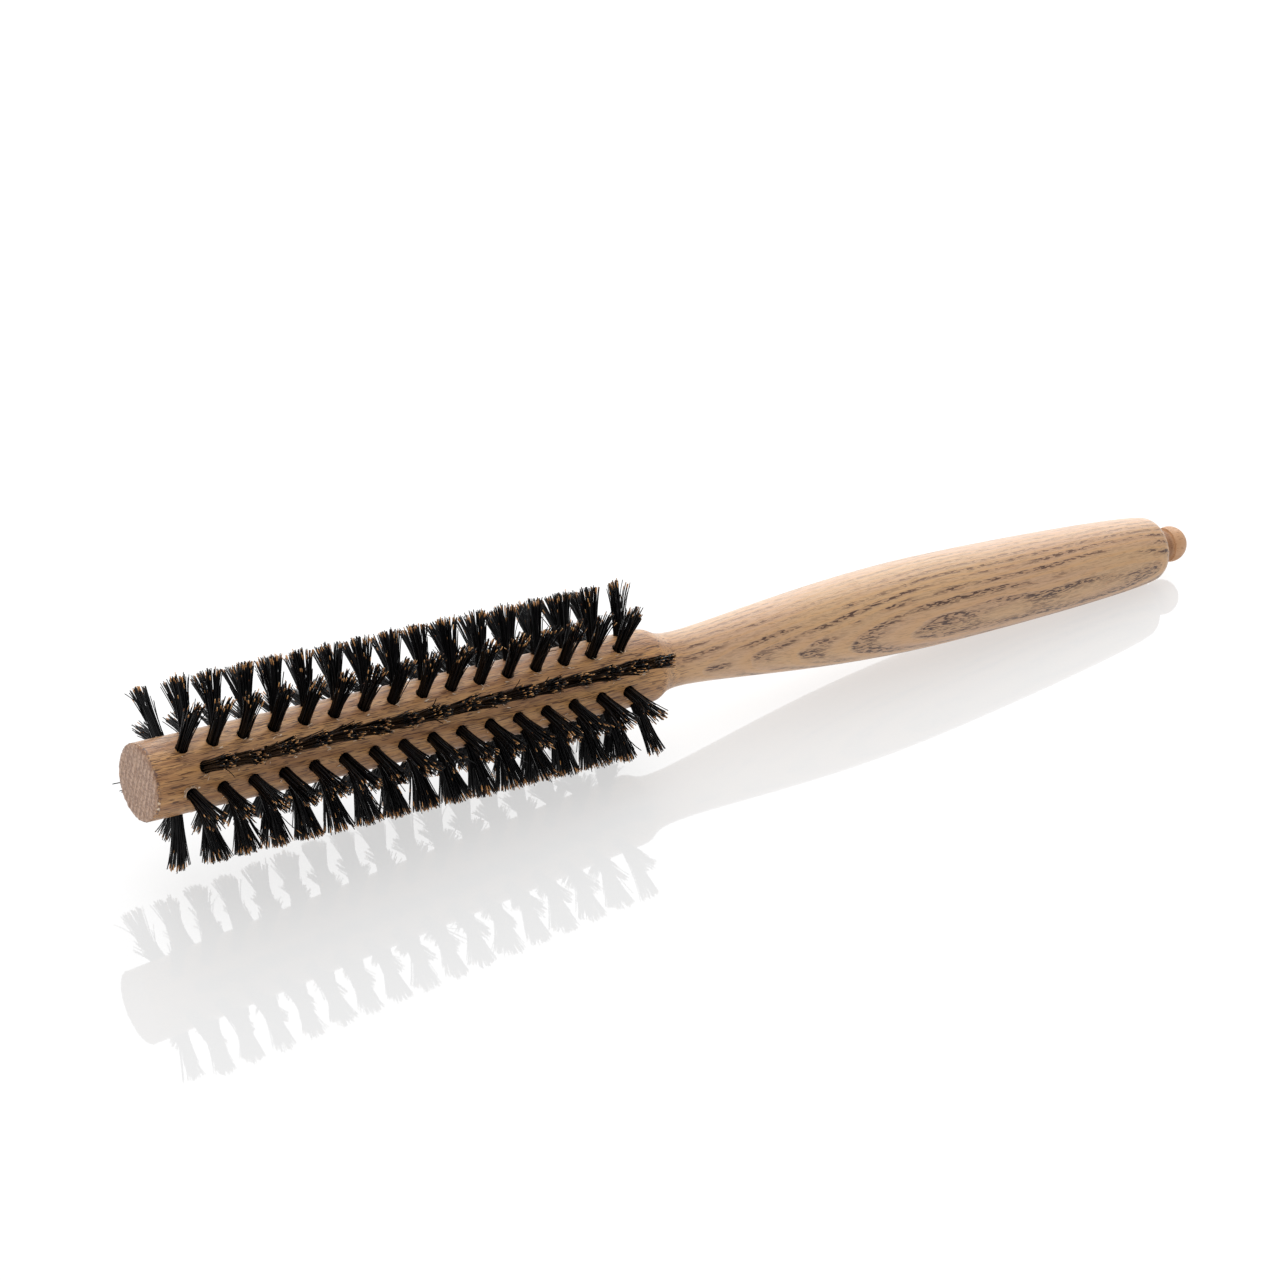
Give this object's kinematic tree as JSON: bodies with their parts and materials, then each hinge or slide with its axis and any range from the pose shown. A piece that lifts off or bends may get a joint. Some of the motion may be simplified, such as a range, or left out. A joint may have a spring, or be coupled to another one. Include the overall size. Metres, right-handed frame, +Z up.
{
  "type": "round barrel hair brush",
  "caption": "Turned wooden round hair brush with rows of bristle tufts round its barrel and a sectioning pick stored in the handle's end.",
  "frame": {"origin": "middle of the brush's bounding box, on the surface that it lies on", "axes": "+X from the barrel's flat end towards the pick's head, +Z up; the brush's own axis leans 4.28 degrees down towards +X"},
  "size_m": [0.2416, 0.0344, 0.0402],
  "materials": {
    "ash_wood": "open-grained, oiled, satin",
    "bristle": "black bristle with tan tips, soft sheen",
    "anchor_wire": "bright flat wire",
    "beech_wood": "fine-grained, smooth, satin",
    "pin_steel": "polished"
  },
  "bodies": {
    "brush": {"body": "ash_wood", "tufts_row_01": "bristle", "tufts_row_02": "bristle", "tufts_row_03": "bristle", "tufts_row_04": "bristle", "tufts_row_05": "bristle", "tufts_row_06": "bristle", "tufts_row_07": "bristle", "tufts_row_08": "bristle", "tufts_row_09": "bristle", "tufts_row_10": "bristle", "anchors_row_01": "anchor_wire", "anchors_row_02": "anchor_wire", "anchors_row_03": "anchor_wire", "anchors_row_04": "anchor_wire", "anchors_row_05": "anchor_wire", "anchors_row_06": "anchor_wire", "anchors_row_07": "anchor_wire", "anchors_row_08": "anchor_wire", "anchors_row_09": "anchor_wire", "anchors_row_10": "anchor_wire"},
    "pick": {"pick_head": "beech_wood", "pick_pin": "pin_steel"}
  },
  "joints": [
    {"name": "pick_slide", "type": "slide", "parent": "brush", "child": "pick", "axis": [0.9972, 0, -0.0747], "range_m": [0, 0.042]}
  ]
}
